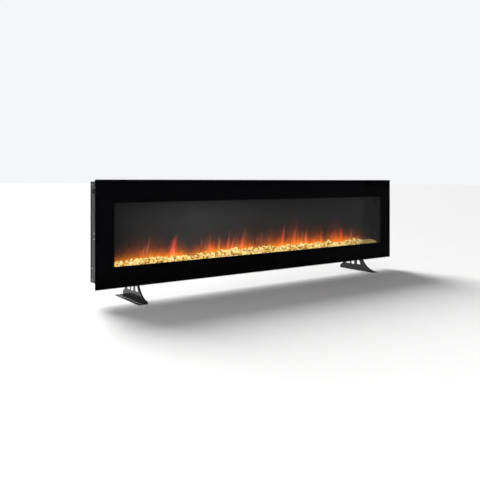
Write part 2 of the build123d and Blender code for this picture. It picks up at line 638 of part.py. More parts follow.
def ember_crystals():
    """Two rows of faceted clear crystals standing on the tray's steps."""
    rng = random.Random(7)
    gem = extrude(RegularPolygon(CRYSTAL_R, 6), amount=CRYSTAL_H)
    ends = gem.edges().group_by(Axis.Z)
    gem = Pos(0, 0, -CRYSTAL_H / 2) * chamfer(ends[0] + ends[-1], 2.8)
    crystals = []
    floor_z = FIREBOX_LOW + TRAY_T
    rows = ((TRAY_FRONT_Y + 10.2, floor_z), (TRAY_BACK_Y - 10.2, floor_z + TRAY_STEP_H))
    for y, floor_z in rows:
        for i in range(CRYSTAL_COUNT):
            x = (i - (CRYSTAL_COUNT - 1) / 2) * CRYSTAL_PITCH
            turned = Rot(rng.uniform(-14, 14), rng.uniform(-20, 20), rng.uniform(0, 60)) * gem
            lift = floor_z - turned.bounding_box().min.Z
            crystals.append(Pos(x, y, lift) * turned)
    return crystals


save("mid_deck", mid_deck())
save("firebox_liners", side_liner(), mirrored(side_liner()))
bottom_channel = screen_channel(FIREBOX_LOW, FIREBOX_LOW + 8)
save("screen_channels", bottom_channel, screen_channel(FIREBOX_HIGH, FIREBOX_HIGH - 5))
screen_z = (FIREBOX_LOW + SHEET, FIREBOX_HIGH - SHEET - 0.5)
save("flame_screen", box(-850, 850, SCREEN_Y, SCREEN_Y + SCREEN_T, *screen_z))
save("ember_tray", ember_tray())
save("tray_ribs", *[tray_rib(x) for x in RIB_XS])
save("ember_crystals", *ember_crystals())


# ---- lamps: three long boards, two of them on rails ----
CHIP = 3.0
CHIP_H = 0.8
BOARD_T = 1.6
CHIP_PITCH = 40.0
FLAME_RAIL_Y = (8.0, 24.0)
FLAME_RAIL_TOP = CASE_LOW + SHEET + 4.6
EMBER_BOARD_X, FLAME_BOARD_X, TOP_BOARD_X = 820.0, 680.0, 815.0
TOP_BOARD_Y = -44.0
ember_board_z = EMBER_RAIL_Z + 4
boards = [
    box(-EMBER_BOARD_X, EMBER_BOARD_X, -36, -24, ember_board_z, ember_board_z + BOARD_T),
    box(-FLAME_BOARD_X, FLAME_BOARD_X, 10, 22, FLAME_RAIL_TOP, FLAME_RAIL_TOP + BOARD_T),
    box(-TOP_BOARD_X, TOP_BOARD_X, TOP_BOARD_Y - 4, TOP_BOARD_Y + 4, FIREBOX_HIGH - BOARD_T, FIREBOX_HIGH),
]


def chips(half, y, low):
    count = int(2 * (half - 10) // CHIP_PITCH) + 1
    first = -(count - 1) / 2 * CHIP_PITCH
    xs = [first + i * CHIP_PITCH for i in range(count)]
    return [box(x - CHIP / 2, x + CHIP / 2, y - CHIP / 2, y + CHIP / 2, low, low + CHIP_H) for x in xs]


ember_rail = rect(*EMBER_RAIL_Y, EMBER_RAIL_Z, ember_board_z) - rect(
    EMBER_RAIL_Y[0] + 3, EMBER_RAIL_Y[1] - 3, EMBER_RAIL_Z, ember_board_z - 1.5
)
flame_rail = rect(*FLAME_RAIL_Y, CASE_LOW + SHEET, FLAME_RAIL_TOP) - rect(
    FLAME_RAIL_Y[0] + 3, FLAME_RAIL_Y[1] - 3, CASE_LOW + SHEET, FLAME_RAIL_TOP - 1.5
)
save("led_boards", *boards)
save("led_rails", slab_yz(ember_rail, -822, 1644), slab_yz(flame_rail, -690, 1380))
all_chips = chips(EMBER_BOARD_X, -30, ember_board_z + BOARD_T)
all_chips += chips(FLAME_BOARD_X, 16, FLAME_RAIL_TOP + BOARD_T)
all_chips += chips(TOP_BOARD_X, TOP_BOARD_Y, FIREBOX_HIGH - BOARD_T - CHIP_H)
save("led_chips", *all_chips)


# ---- the flame rotor: a turning shaft of foils behind a stencil ----
ROTOR_Y, ROTOR_Z = 16.0, 128.0
ROTOR_SHAFT_R = 2.5
ROTOR_LEFT, ROTOR_RIGHT = -806.0, 776.0
RUNNING_GAP = 0.05
FOIL_R = 14.0
FOIL_PITCH = 38.0
FOIL_COUNT = 19
FOIL_TURN = 31.0
ROTOR_BRACKET_XS = (-770.0, 0.0, 770.0)
STENCIL_X = 760.0
STENCIL_Z = (143.0, 262.0)


def foil():
    """A hub with four thin mirrored blades, each set askew."""
    hub = tube((-5, 0, 0), (1, 0, 0), 4.0, ROTOR_SHAFT_R, 10)
    blade = Pos(0, 0, 3.4 + (FOIL_R - 3.6) / 2) * Rot(0, 0, 24) * Box(26, 0.6, FOIL_R - 3.6)
    shape = hub
    for quarter in range(4):
        shape += Rot(90 * quarter, 0, 0) * blade
    return shape


def flame_foils():
    one = foil()
    foils = []
    for side in (-1, 1):
        for i in range(FOIL_COUNT):
            x = side * (36 + FOIL_PITCH * i)
            foils.append(Pos(x, ROTOR_Y, ROTOR_Z) * Rot(FOIL_TURN * (i + 0.5 * side), 0, 0) * one)
    return foils


def rotor_bracket(x):
    """An upright that holds a bush and stands over the lamp rail."""
    low = CASE_LOW + SHEET
    notch = rect(FLAME_RAIL_Y[0] - 0.5, FLAME_RAIL_Y[1] + 0.5, low, FLAME_RAIL_TOP + 4)
    plate = rect(1.2, 31, low, 142) - notch - holes([(ROTOR_Y, ROTOR_Z)], 4.5)
    shape = slab_yz(plate, x - 0.75, 1.5)
    for y0, y1 in ((1.2, FLAME_RAIL_Y[0] - 0.5), (FLAME_RAIL_Y[1] + 0.5, 31)):
        shape += box(x - 0.75, x + 10, y0, y1, low, low + 1.5)
    return shape


def rotor_bush(x):
    bush = rod((x - 3, ROTOR_Y, ROTOR_Z), (1, 0, 0), 4.4, 6)
    bush += rod((x + 0.75, ROTOR_Y, ROTOR_Z), (1, 0, 0), 6, 2)
    return bush - rod((x - 5, ROTOR_Y, ROTOR_Z), (1, 0, 0), ROTOR_SHAFT_R + RUNNING_GAP, 12)


def rotor_motor():
    """A small synchronous gear motor on an angle bracket at the left end."""
    can = rod((-814, ROTOR_Y, ROTOR_Z), (1, 0, 0), 16.0, 18)
    plate = slab_yz(rect(-2, 34, CASE_LOW + SHEET, 146), -796, 1.5)
    foot = box(-796, -782, -2, 34, CASE_LOW + SHEET, CASE_LOW + SHEET + 1.5)
    bore = rod((ROTOR_LEFT - 0.5, ROTOR_Y, ROTOR_Z), (1, 0, 0), ROTOR_SHAFT_R + RUNNING_GAP, 20)
    return can + plate + foot - bore


def tongue(x, width, height, lean):
    """A flame-shaped cut-out."""
    base = STENCIL_Z[0] + 12
    tip = (x + lean, base + height)
    left, right = (x - width / 2, base), (x + width / 2, base)
    edges = ThreePointArc(left, (x - width * 0.34 + lean * 0.2, base + height * 0.5), tip)
    edges += ThreePointArc(tip, (x + width * 0.32 + lean * 0.55, base + height * 0.5), right)
    return make_face(edges + Line(right, left))


def flame_stencil():
    rng = random.Random(11)
    sheet = rect(-STENCIL_X, STENCIL_X, *STENCIL_Z)
    cuts = []
    for i in range(24):
        x = -720 + i * 62.6
        cuts.append(tongue(x, rng.uniform(16, 26), rng.uniform(48, 92), rng.uniform(2, 10)))
    return slab_xz(sheet - cuts, 0.0, 0.8)


save("flame_stencil", flame_stencil())
save("rotor_shaft", rod((ROTOR_LEFT, ROTOR_Y, ROTOR_Z), (1, 0, 0), ROTOR_SHAFT_R, ROTOR_RIGHT - ROTOR_LEFT))
save("flame_foils", *flame_foils())
save("rotor_brackets", *[rotor_bracket(x) for x in ROTOR_BRACKET_XS])
save("rotor_bushes", *[rotor_bush(x) for x in ROTOR_BRACKET_XS])
save("rotor_motor", rotor_motor())


# ---- the heater: cross-flow fan, scroll housing and heating element ----
FAN_Y, FAN_Z = 8.0, 466.0
FAN_R = 24.0
FAN_X = 146.0
FAN_SHAFT_R = 2.5
FAN_BLADES = 24
SCROLL_R = 26.5
HOUSING_X = 151.0
HEATER_Y = (-46.5, -16.5)
HEATER_Z = (494.0, 506.0)
HEATER_X = 130.0


def fan_housing():
    """A guide below and in front of the wheel, a shroud above it, and two end plates."""
    axis = (FAN_Y, FAN_Z)
    low_arc = CenterArc(axis, SCROLL_R, -40, -100)
    ramp = Polyline(low_arc @ 1, (-48, 491.5), (-48, 511))
    high_arc = CenterArc(axis, SCROLL_R, 55, 75)
    throat = Polyline(high_arc @ 1, (-15, 493), (-15, 511))
    walls = trace(low_arc + ramp, line_width=1) + trace(high_arc + throat, line_width=1)
    shell = slab_yz(walls, -HOUSING_X, 2 * HOUSING_X)
    end = rect(-48.5, -14.5, DECK_TOP, 511) + rect(-14.6, 34, DECK_TOP, 466) + Pos(*axis) * Circle(27)
    end -= Pos(*axis) * Circle(6)
    return shell + slab_yz(end, -HOUSING_X - 1, 1) + slab_yz(end, HOUSING_X, 1)


def fan_wheel():
    """Forward-curved blades between two end discs, with three stiffening rings."""
    axis = Pos(FAN_Y, FAN_Z)
    blades = Sketch()
    for place in PolarLocations(21.2, FAN_BLADES).locations:
        blades += axis * place * Rot(0, 0, 28) * Rectangle(4.6, 0.8)
    wheel = slab_yz(blades, -FAN_X, 2 * FAN_X)
    disc = axis * (Circle(FAN_R) - Circle(FAN_SHAFT_R))
    ring = axis * (Circle(FAN_R) - Circle(18.6))
    hub = axis * (Circle(6) - Circle(FAN_SHAFT_R))
    for x in (-FAN_X, FAN_X - 2):
        wheel += slab_yz(disc, x, 2)
    for x in (-74, -1, 72):
        wheel += slab_yz(ring, x, 2)
    return wheel + slab_yz(hub, -FAN_X, 8) + slab_yz(hub, FAN_X - 8, 8)


def fan_bearing():
    block = box(-162, -153, FAN_Y - 8, FAN_Y + 8, DECK_TOP, FAN_Z + 10)
    block = fillet(block.edges().filter_by(Axis.X).group_by(Axis.Z)[-1], 6)
    block += box(-164, -153, FAN_Y - 15, FAN_Y + 15, DECK_TOP, DECK_TOP + 3)
    return block - rod((-170, FAN_Y, FAN_Z), (1, 0, 0), FAN_SHAFT_R + RUNNING_GAP, 30)


def fan_motor():
    can = rod((157, FAN_Y, FAN_Z), (1, 0, 0), 21, 24)
    can = fillet(can.edges().group_by(Axis.X)[-1], 3)
    can += box(160, 178, FAN_Y - 16, FAN_Y + 16, DECK_TOP, FAN_Z - 12)
    can += box(156, 182, FAN_Y - 22, FAN_Y + 22, DECK_TOP, DECK_TOP + 2)
    return can - rod((150, FAN_Y, FAN_Z), (1, 0, 0), FAN_SHAFT_R + RUNNING_GAP, 24)


def ptc_heater():
    """Three long heating bars with fins between them, held by a block at each end."""
    y0, y1 = HEATER_Y
    z0, z1 = HEATER_Z
    fins = Sketch()
    for x in spread(-HEATER_X + 4, HEATER_X - 4, 43):
        fins += rect(x - 0.4, x + 0.4, y0 + 1, y1 - 1)
    heater = slab_xy(fins, z0 + 1, z1 - z0 - 2)
    for y in spread(y0 + 3, y1 - 3, 3):
        heater += box(-HEATER_X, HEATER_X, y - 2, y + 2, z0 + 3, z1 - 3)
    for x0, x1 in ((-HOUSING_X, -HEATER_X), (HEATER_X, HOUSING_X)):
        heater += box(x0, x1, y0, y1, z0, z1)
    return heater


def thermal_cutout():
    """A disc thermostat with two terminals, on the housing's end plate."""
    x = HOUSING_X + 1
    body = rod((x, -32, 498), (1, 0, 0), 8, 5) + rod((x + 5, -32, 498), (1, 0, 0), 5.5, 3)
    for y in (-35, -29):
        body += box(x + 8, x + 14, y - 0.4, y + 0.4, 495, 501)
    return body


save("fan_housing", fan_housing())
save("fan_wheel", fan_wheel())
save("fan_shaft", rod((-160, FAN_Y, FAN_Z), (1, 0, 0), FAN_SHAFT_R, 333))
save("fan_bearing", fan_bearing())
save("fan_motor", fan_motor())
save("ptc_heater", ptc_heater())
save("thermal_cutout", thermal_cutout())


# ---- electronics ----
PCB_X = (540.0, 720.0)
PCB_Y = 10.0
PCB_Z = (442.0, 502.0)
DRIVER_X = (-720.0, -560.0)
WIRE_R = 2.0
WIRE_Z = 455.0
LOOM_Z, LOOM_Y = 508.0, 28.0


def control_board():
    holes_at = [(x, z) for x in (PCB_X[0] + 6, PCB_X[1] - 6) for z in (460, 478)]
    return slab_xz(rect(*PCB_X, *PCB_Z, 2) - holes(holes_at, 1.6), PCB_Y, BOARD_T)


def board_parts():
    """Relays, transformer, capacitors, connectors and the posts that hold the board."""
    y = PCB_Y
    parts = [box(x, x + 15, y - 16, y, 466, 482) for x in (560, 580, 600)]
    parts.append(box(626, 656, y - 20, y, 462, 490))
    for x, z, radius, height in ((672, 484, 5, 18), (672, 468, 4, 14), (618, 452, 4, 12)):
        parts.append(rod((x, y, z), (0, -1, 0), radius, height))
    parts.append(box(704, 722, y - 17, y, 449, 461))
    parts.append(box(594, 606, y - 10, y, 488, 500))
    parts.append(box(538, 550, y - 10, y, 465, 475))
    parts.append(box(640, 662, y - 2, y, 446, 456))
    for x in (PCB_X[0] + 6, PCB_X[1] - 6):
        for z in (460, 478):
            post = rod((x, y + BOARD_T, z), (0, 1, 0), 3, WALL_BACK_Y - y - BOARD_T)
            parts.append(post + rod((x, y, z), (0, 1, 0), 1.5, BOARD_T))
    return parts


def led_driver():
    """A sealed lamp supply with a flange at each end."""
    x0, x1 = DRIVER_X
    body = fillet(box(x0, x1, -22, 12, DECK_TOP, DECK_TOP + 30).edges().filter_by(Axis.Z), 4)
    body = fillet(body.faces().sort_by(Axis.Z)[-1].edges(), 1.5)
    flange = box(x0 - 12, x1 + 12, -16, 6, DECK_TOP, DECK_TOP + 2)
    return body + flange - [rod((x, -5, DECK_TOP - 1), (0, 0, 1), 2.2, 5) for x in (x0 - 7, x1 + 7)]


def display_module():
    """The readout and remote-control window behind the opening in the fascia."""
    (x0, x1), (z0, z1) = DISPLAY_X, DISPLAY_Z
    lens = slab_xz(rect(x0 + 0.4, x1 - 0.4, z0 + 0.4, z1 - 0.4, 2), FASCIA_Y + 0.2, SHEET - 0.2)
    holder = box(x0 - 5, x1 + 5, WALL_FRONT_Y, WALL_FRONT_Y + 6, z0 - 5, z1 + 5)
    return lens + holder + box(x0 + 30, x1 - 30, WALL_FRONT_Y + 6, WALL_FRONT_Y + 10, 474, 488)


def wire(points, bend):
    path = FilletPolyline(*points, radius=bend)
    return sweep(Plane(origin=path @ 0, z_dir=path % 0) * Circle(WIRE_R), path=path)


supply = wire(
    [(881.2, GLAND_Y, GLAND_Z), (WIRE_X, GLAND_Y, GLAND_Z), (WIRE_X, WIRE_Y, GLAND_Z + 30)]
    + [(WIRE_X, WIRE_Y, WIRE_Z), (722, WIRE_Y, WIRE_Z)],
    6,
)
lamp_lead = wire(
    [(-600, -5, DECK_TOP + 30), (-600, -5, LOOM_Z), (-600, LOOM_Y, LOOM_Z)]
    + [(600, LOOM_Y, LOOM_Z), (600, 5, LOOM_Z), (600, 5, 500)],
    3.5,
)
fan_lead = rod((181, 5, 470), (1, 0, 0), WIRE_R, 357)
save("control_board", control_board())
save("board_parts", *board_parts())
save("led_driver", led_driver())
save("display_module", display_module())
save("wire_harness", supply, lamp_lead, fan_lead)


# ---- controls on the right-hand end ----
ROCKER_PIVOT_X = CASE_X - 4.3
ROCKER_HALF_Y = 4.6
ROCKER_HALF_Z = 6.6
ROCKER_TILT = 10.0
BUTTON_R = 4.5
BUTTON_PROUD = 2.5
BUTTON_TRAVEL = 1.2
BEZEL_T = 1.5


def rocker_housing():
    y, z = ROCKER_Y, ROCKER_Z
    body = box(CASE_X - 20, CASE_X + 2, y - 6.4, y + 6.4, z - 9.4, z + 9.4)
    flange = box(CASE_X, CASE_X + 2, y - 8.5, y + 8.5, z - 12, z + 12)
    flange = fillet(flange.edges().filter_by(Axis.X), 2)
    pocket = box(CASE_X - 11, CASE_X + 3, y - 5, y + 5, z - 8.2, z + 8.2)
    pivot = rod((ROCKER_PIVOT_X, y - 5.7, z), (0, 1, 0), 1.25, 11.4)
    shape = body + flange - pocket - pivot
    for tab in (z - 5, z + 5):
        shape += box(CASE_X - 28, CASE_X - 20, y - 0.4, y + 0.4, tab - 2.4, tab + 2.4)
    return shape


def power_rocker():
    """The rocker, shown pressed at its lower end; it turns the other way about its pins."""
    face = make_face(
        Polyline(
            (-3.5, -4.5), (7.0, -ROCKER_HALF_Z), (5.4, 0), (7.0, ROCKER_HALF_Z), (-3.5, 4.5), close=True
        )
    )
    body = extrude(Plane.XZ.offset(-ROCKER_HALF_Y) * face, amount=2 * ROCKER_HALF_Y)
    body += rod((0, -5.6, 0), (0, 1, 0), 1.2, 11.2)
    return Pos(ROCKER_PIVOT_X, ROCKER_Y, ROCKER_Z) * Rot(0, ROCKER_TILT, 0) * body


def button_bezel():
    """A strip outside and a block inside the end plate, joined by the collars that guide the buttons."""
    low, high = BUTTON_ZS[0] - 10, BUTTON_ZS[-1] + 10
    strip = slab_yz(rect(BUTTON_Y - 9, BUTTON_Y + 9, low, high, 4), CASE_X, BEZEL_T)
    block = box(CASE_X - 17, CASE_X - SHEET - 0.1, BUTTON_Y - 8, BUTTON_Y + 8, low, high)
    shape = strip + block
    for z in BUTTON_ZS:
        shape += rod((CASE_X - 5, BUTTON_Y, z), (1, 0, 0), BUTTON_HOLE_R - 0.15, 5 + BEZEL_T)
        shape -= rod((CASE_X - 15.5, BUTTON_Y, z), (1, 0, 0), BUTTON_R + 0.2, 30)
        shape -= rod((CASE_X - 15.5, BUTTON_Y, z), (1, 0, 0), 6.6, 9)
        shape += rod((CASE_X - 15.5, BUTTON_Y, z), (1, 0, 0), 3, 4.8)
    return shape


def button(z):
    cap = rod((CASE_X - 8.9, BUTTON_Y, z), (1, 0, 0), BUTTON_R, 8.9 + BEZEL_T + BUTTON_PROUD)
    cap = fillet(cap.edges().group_by(Axis.X)[-1], 0.8)
    return cap + rod((CASE_X - 8.9, BUTTON_Y, z), (1, 0, 0), 6.0, 2.3)


save("rocker_housing", rocker_housing())
save("power_rocker", power_rocker())
save("button_bezel", button_bezel())
for name, z in zip(("button_heat", "button_flame", "button_power"), BUTTON_ZS):
    save(name, button(z))
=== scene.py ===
import math
import random

import bmesh
import bpy
import numpy as np
from mathutils import Matrix, Vector


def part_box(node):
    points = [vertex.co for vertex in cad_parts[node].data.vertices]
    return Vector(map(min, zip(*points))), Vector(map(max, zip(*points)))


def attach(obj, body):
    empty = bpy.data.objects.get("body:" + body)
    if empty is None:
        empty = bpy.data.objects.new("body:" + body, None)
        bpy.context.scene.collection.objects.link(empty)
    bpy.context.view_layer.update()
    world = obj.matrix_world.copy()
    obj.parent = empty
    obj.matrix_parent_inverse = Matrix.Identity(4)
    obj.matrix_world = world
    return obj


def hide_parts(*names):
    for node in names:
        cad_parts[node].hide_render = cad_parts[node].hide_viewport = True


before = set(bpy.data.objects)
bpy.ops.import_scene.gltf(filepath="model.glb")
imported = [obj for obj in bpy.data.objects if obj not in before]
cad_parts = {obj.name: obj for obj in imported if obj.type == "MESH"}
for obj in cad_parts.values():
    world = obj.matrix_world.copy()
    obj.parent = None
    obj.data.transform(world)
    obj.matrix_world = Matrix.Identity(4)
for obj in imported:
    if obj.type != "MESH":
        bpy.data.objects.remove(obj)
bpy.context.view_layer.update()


# The studio floor and air.
# A pale, plain floor that runs far past the fireplace under an even white sky.
# The floor is matt with only a breath of unevenness, so shadows stay soft and clean.
def material(name):
    """A new material, its node tree and its Principled shader."""
    made = bpy.data.materials.new(name)
    made.use_nodes = True
    return made, made.node_tree, made.node_tree.nodes["Principled BSDF"]


def node(tree, kind, **inputs):
    """A node in the tree, with the inputs that stay unlinked set by name."""
    made = tree.nodes.new(kind)
    for name, value in inputs.items():
        made.inputs[name.replace("_", " ")].default_value = value
    return made


def group(name, inputs, outputs):
    """A shader node group with named sockets, and its input and output nodes."""
    tree = bpy.data.node_groups.new(name, "ShaderNodeTree")
    for socket, kind, value in inputs:
        made = tree.interface.new_socket(socket, in_out="INPUT", socket_type=kind)
        made.default_value = value
    for socket, kind in outputs:
        tree.interface.new_socket(socket, in_out="OUTPUT", socket_type=kind)
    return tree, tree.nodes.new("NodeGroupInput"), tree.nodes.new("NodeGroupOutput")


def placed(tree, what, **inputs):
    """A node group placed in a material with its own values."""
    made = tree.nodes.new("ShaderNodeGroup")
    made.node_tree = what
    for name, value in inputs.items():
        made.inputs[name.replace("_", " ")].default_value = value
    return made


# Fine grain: an even speckle for coatings, plastics and rubber, as a value and as a height.
grain, grain_in, grain_out = group(
    "fine_grain",
    [("Pitch", "NodeSocketFloat", 900.0), ("Contrast", "NodeSocketFloat", 0.5)],
    [("Value", "NodeSocketFloat"), ("Height", "NodeSocketFloat")],
)
where = grain.nodes.new("ShaderNodeTexCoord")
speckle = node(grain, "ShaderNodeTexNoise", Detail=3.0, Roughness=0.6)
clouds = node(grain, "ShaderNodeTexNoise", Scale=14.0, Detail=4.0, Roughness=0.55)
grain.links.new(where.outputs["Object"], speckle.inputs["Vector"])
grain.links.new(where.outputs["Object"], clouds.inputs["Vector"])
grain.links.new(grain_in.outputs["Pitch"], speckle.inputs["Scale"])
mixed = grain.nodes.new("ShaderNodeMath")
mixed.operation = "MULTIPLY_ADD"
mixed.inputs[1].default_value = 0.45
half = grain.nodes.new("ShaderNodeMath")
half.operation = "MULTIPLY"
half.inputs[1].default_value = 0.55
grain.links.new(clouds.outputs["Fac"], half.inputs[0])
grain.links.new(speckle.outputs["Fac"], mixed.inputs[0])
grain.links.new(half.outputs[0], mixed.inputs[2])
centred = grain.nodes.new("ShaderNodeMath")
centred.operation = "SUBTRACT"
centred.inputs[1].default_value = 0.5
scaled = grain.nodes.new("ShaderNodeMath")
scaled.operation = "MULTIPLY_ADD"
scaled.inputs[2].default_value = 0.5
grain.links.new(mixed.outputs[0], centred.inputs[0])
grain.links.new(centred.outputs[0], scaled.inputs[0])
grain.links.new(grain_in.outputs["Contrast"], scaled.inputs[1])
grain.links.new(scaled.outputs[0], grain_out.inputs["Value"])
grain.links.new(speckle.outputs["Fac"], grain_out.inputs["Height"])


def grained(tree, shader, dark, light, rough_low, rough_high, pitch, contrast, bump, depth):
    """Colour, roughness and bump of a surface from the fine grain."""
    texture = placed(tree, grain, Pitch=pitch, Contrast=contrast)
    ramp = tree.nodes.new("ShaderNodeMix")
    ramp.data_type = "RGBA"
    ramp.inputs["A"].default_value = (*dark, 1.0)
    ramp.inputs["B"].default_value = (*light, 1.0)
    tree.links.new(texture.outputs["Value"], ramp.inputs["Factor"])
    tree.links.new(ramp.outputs["Result"], shader.inputs["Base Color"])
    rough = node(tree, "ShaderNodeMapRange", To_Min=rough_low, To_Max=rough_high)
    tree.links.new(texture.outputs["Value"], rough.inputs["Value"])
    tree.links.new(rough.outputs["Result"], shader.inputs["Roughness"])
    relief = node(tree, "ShaderNodeBump", Strength=bump, Distance=depth)
    tree.links.new(texture.outputs["Height"], relief.inputs["Height"])
    tree.links.new(relief.outputs["Normal"], shader.inputs["Normal"])
    return texture, ramp


floor_finish, tree, shader = material("pale_floor")
grained(tree, shader, (0.66, 0.655, 0.65), (0.72, 0.715, 0.71), 0.55, 0.7, 60.0, 0.6, 0.05, 0.001)
shader.inputs["Specular IOR Level"].default_value = 0.25
bpy.ops.mesh.primitive_grid_add(x_subdivisions=8, y_subdivisions=8, size=160.0, location=(0, 40.0, 0))
floor = bpy.context.object
floor.name = "studio_floor"
floor.data.materials.append(floor_finish)

world = bpy.data.worlds.new("studio_air")
world.use_nodes = True
bpy.context.scene.world = world
air = world.node_tree
sky = air.nodes["Background"]
sky.inputs["Color"].default_value = (0.97, 0.98, 1.0, 1.0)
seen = air.nodes.new("ShaderNodeLightPath")
brightness = node(air, "ShaderNodeMapRange", To_Min=0.30, To_Max=0.94)
air.links.new(seen.outputs["Is Camera Ray"], brightness.inputs["Value"])
air.links.new(brightness.outputs["Result"], sky.inputs["Strength"])


# The studio lamps: a broad key light from behind and above, a soft bank over the front,
# and one at the left end. All are wide, so the shadow falls softly towards the front.
def lamp(name, place, aim, width, height, power):
    light = bpy.data.lights.new(name, "AREA")
    light.shape = "RECTANGLE"
    light.size = width
    light.size_y = height
    light.energy = power
    holder = bpy.data.objects.new(name, light)
    bpy.context.scene.collection.objects.link(holder)
    holder.location = place
    holder.rotation_euler = (Vector(aim) - Vector(place)).to_track_quat("-Z", "Y").to_euler()
    return holder


lamp("front_bank", (-0.6, -2.6, 3.0), (0, 0, 0.2), 3.0, 2.0, 14)
lamp("left_bank", (-3.2, -0.4, 1.2), (-0.9, 0, 0.3), 1.2, 1.8, 18)
key = bpy.data.lights.new("key", "SUN")
key.energy = 5.5
key.angle = math.radians(34)
key_holder = bpy.data.objects.new("key", key)
bpy.context.scene.collection.objects.link(key_holder)
key_holder.rotation_euler = Vector((-0.04, -0.8, -0.6)).to_track_quat("-Z", "Y").to_euler()

# The camera stands left of the fireplace at the height of its top edge and looks level.
camera = bpy.data.objects.new("camera", bpy.data.cameras.new("camera"))
bpy.context.scene.collection.objects.link(camera)
camera.location = (-1.7318, -2.2774, 0.5206)
camera.rotation_euler = (math.radians(90), 0, -math.radians(35.061))
camera.data.lens = 41.516
camera.data.sensor_width = 36.0
camera.data.shift_y = -0.12178
camera.data.clip_end = 300.0
bpy.context.scene.camera = camera
bpy.context.scene.view_settings.view_transform = "Standard"


def dress(finish, *names):
    """Gives CAD nodes a finish."""
    for name in names:
        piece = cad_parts[name]
        piece.data.materials.clear()
        piece.data.materials.append(finish)


# The glass front: one sheet of clear toughened glass, 4 mm thick with ground edges.
# Looked at squarely it all but vanishes; at a slant its face takes on a sheen.
glass, tree, shader = material("tempered_glass")
shader.inputs["Base Color"].default_value = (0.005, 0.006, 0.007, 1.0)
shader.inputs["Specular IOR Level"].default_value = 0.6
smear = placed(tree, grain, Pitch=30.0, Contrast=0.7)
polish = node(tree, "ShaderNodeMapRange", To_Min=0.02, To_Max=0.07)
tree.links.new(smear.outputs["Value"], polish.inputs["Value"])
tree.links.new(polish.outputs["Result"], shader.inputs["Roughness"])
slant = node(tree, "ShaderNodeFresnel", IOR=1.35)
body = node(tree, "ShaderNodeMapRange", To_Min=0.0, To_Max=0.7)
tree.links.new(slant.outputs["Fac"], body.inputs["Value"])
tree.links.new(body.outputs["Result"], shader.inputs["Alpha"])
dress(glass, "front_glass")

# The black border: ceramic ink fired on the back of the glass around the clear window.
# It is a dense blue-black that the glass in front makes glossy.
ink, tree, shader = material("border_ink")
ink_dark, ink_light = (0.0016, 0.0016, 0.0026), (0.0026, 0.0026, 0.0040)
grained(tree, shader, ink_dark, ink_light, 0.5, 0.6, 400.0, 0.6, 0.02, 0.0001)
shader.inputs["Specular IOR Level"].default_value = 0.03
dress(ink, "border_print")

# The tape and the rubber pads: double-sided foam that holds the rails to the glass,
# and moulded pads stuck under the feet. Both are black, matt and slightly uneven.
soft_black, tree, shader = material("black_rubber")
grained(tree, shader, (0.012, 0.012, 0.012), (0.025, 0.025, 0.025), 0.7, 0.9, 500.0, 0.8, 0.35, 0.0004)
dress(soft_black, "panel_tape", "foot_pads")


# The screen: dark frosted acrylic that carries the picture of the flames.
# Light from the turning foils comes through the stencil and lands on its back as soft tongues,
# red at the heart and paler at the tips; here that light is painted into the sheet as glowing vertex
# colour.
# The rest of the sheet stays a smoky grey.
SCREEN_STEP = 0.0025
screen_low, screen_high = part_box("flame_screen")
columns = int((screen_high.x - screen_low.x) / SCREEN_STEP) + 1
rows = int((screen_high.z - screen_low.z) / SCREEN_STEP) + 1
grid_x, grid_z = np.meshgrid(
    np.linspace(screen_low.x, screen_high.x, columns), np.linspace(screen_low.z, screen_high.z, rows)
)

RED = (0.62, 0.028, 0.006)
SCARLET = (0.70, 0.070, 0.012)
PINK = (0.42, 0.115, 0.070)
ORANGE = (0.60, 0.17, 0.020)
# A faint pale tongue colour, painted light like the others.
FAINT_GLOW = (0.20, 0.120, 0.100)
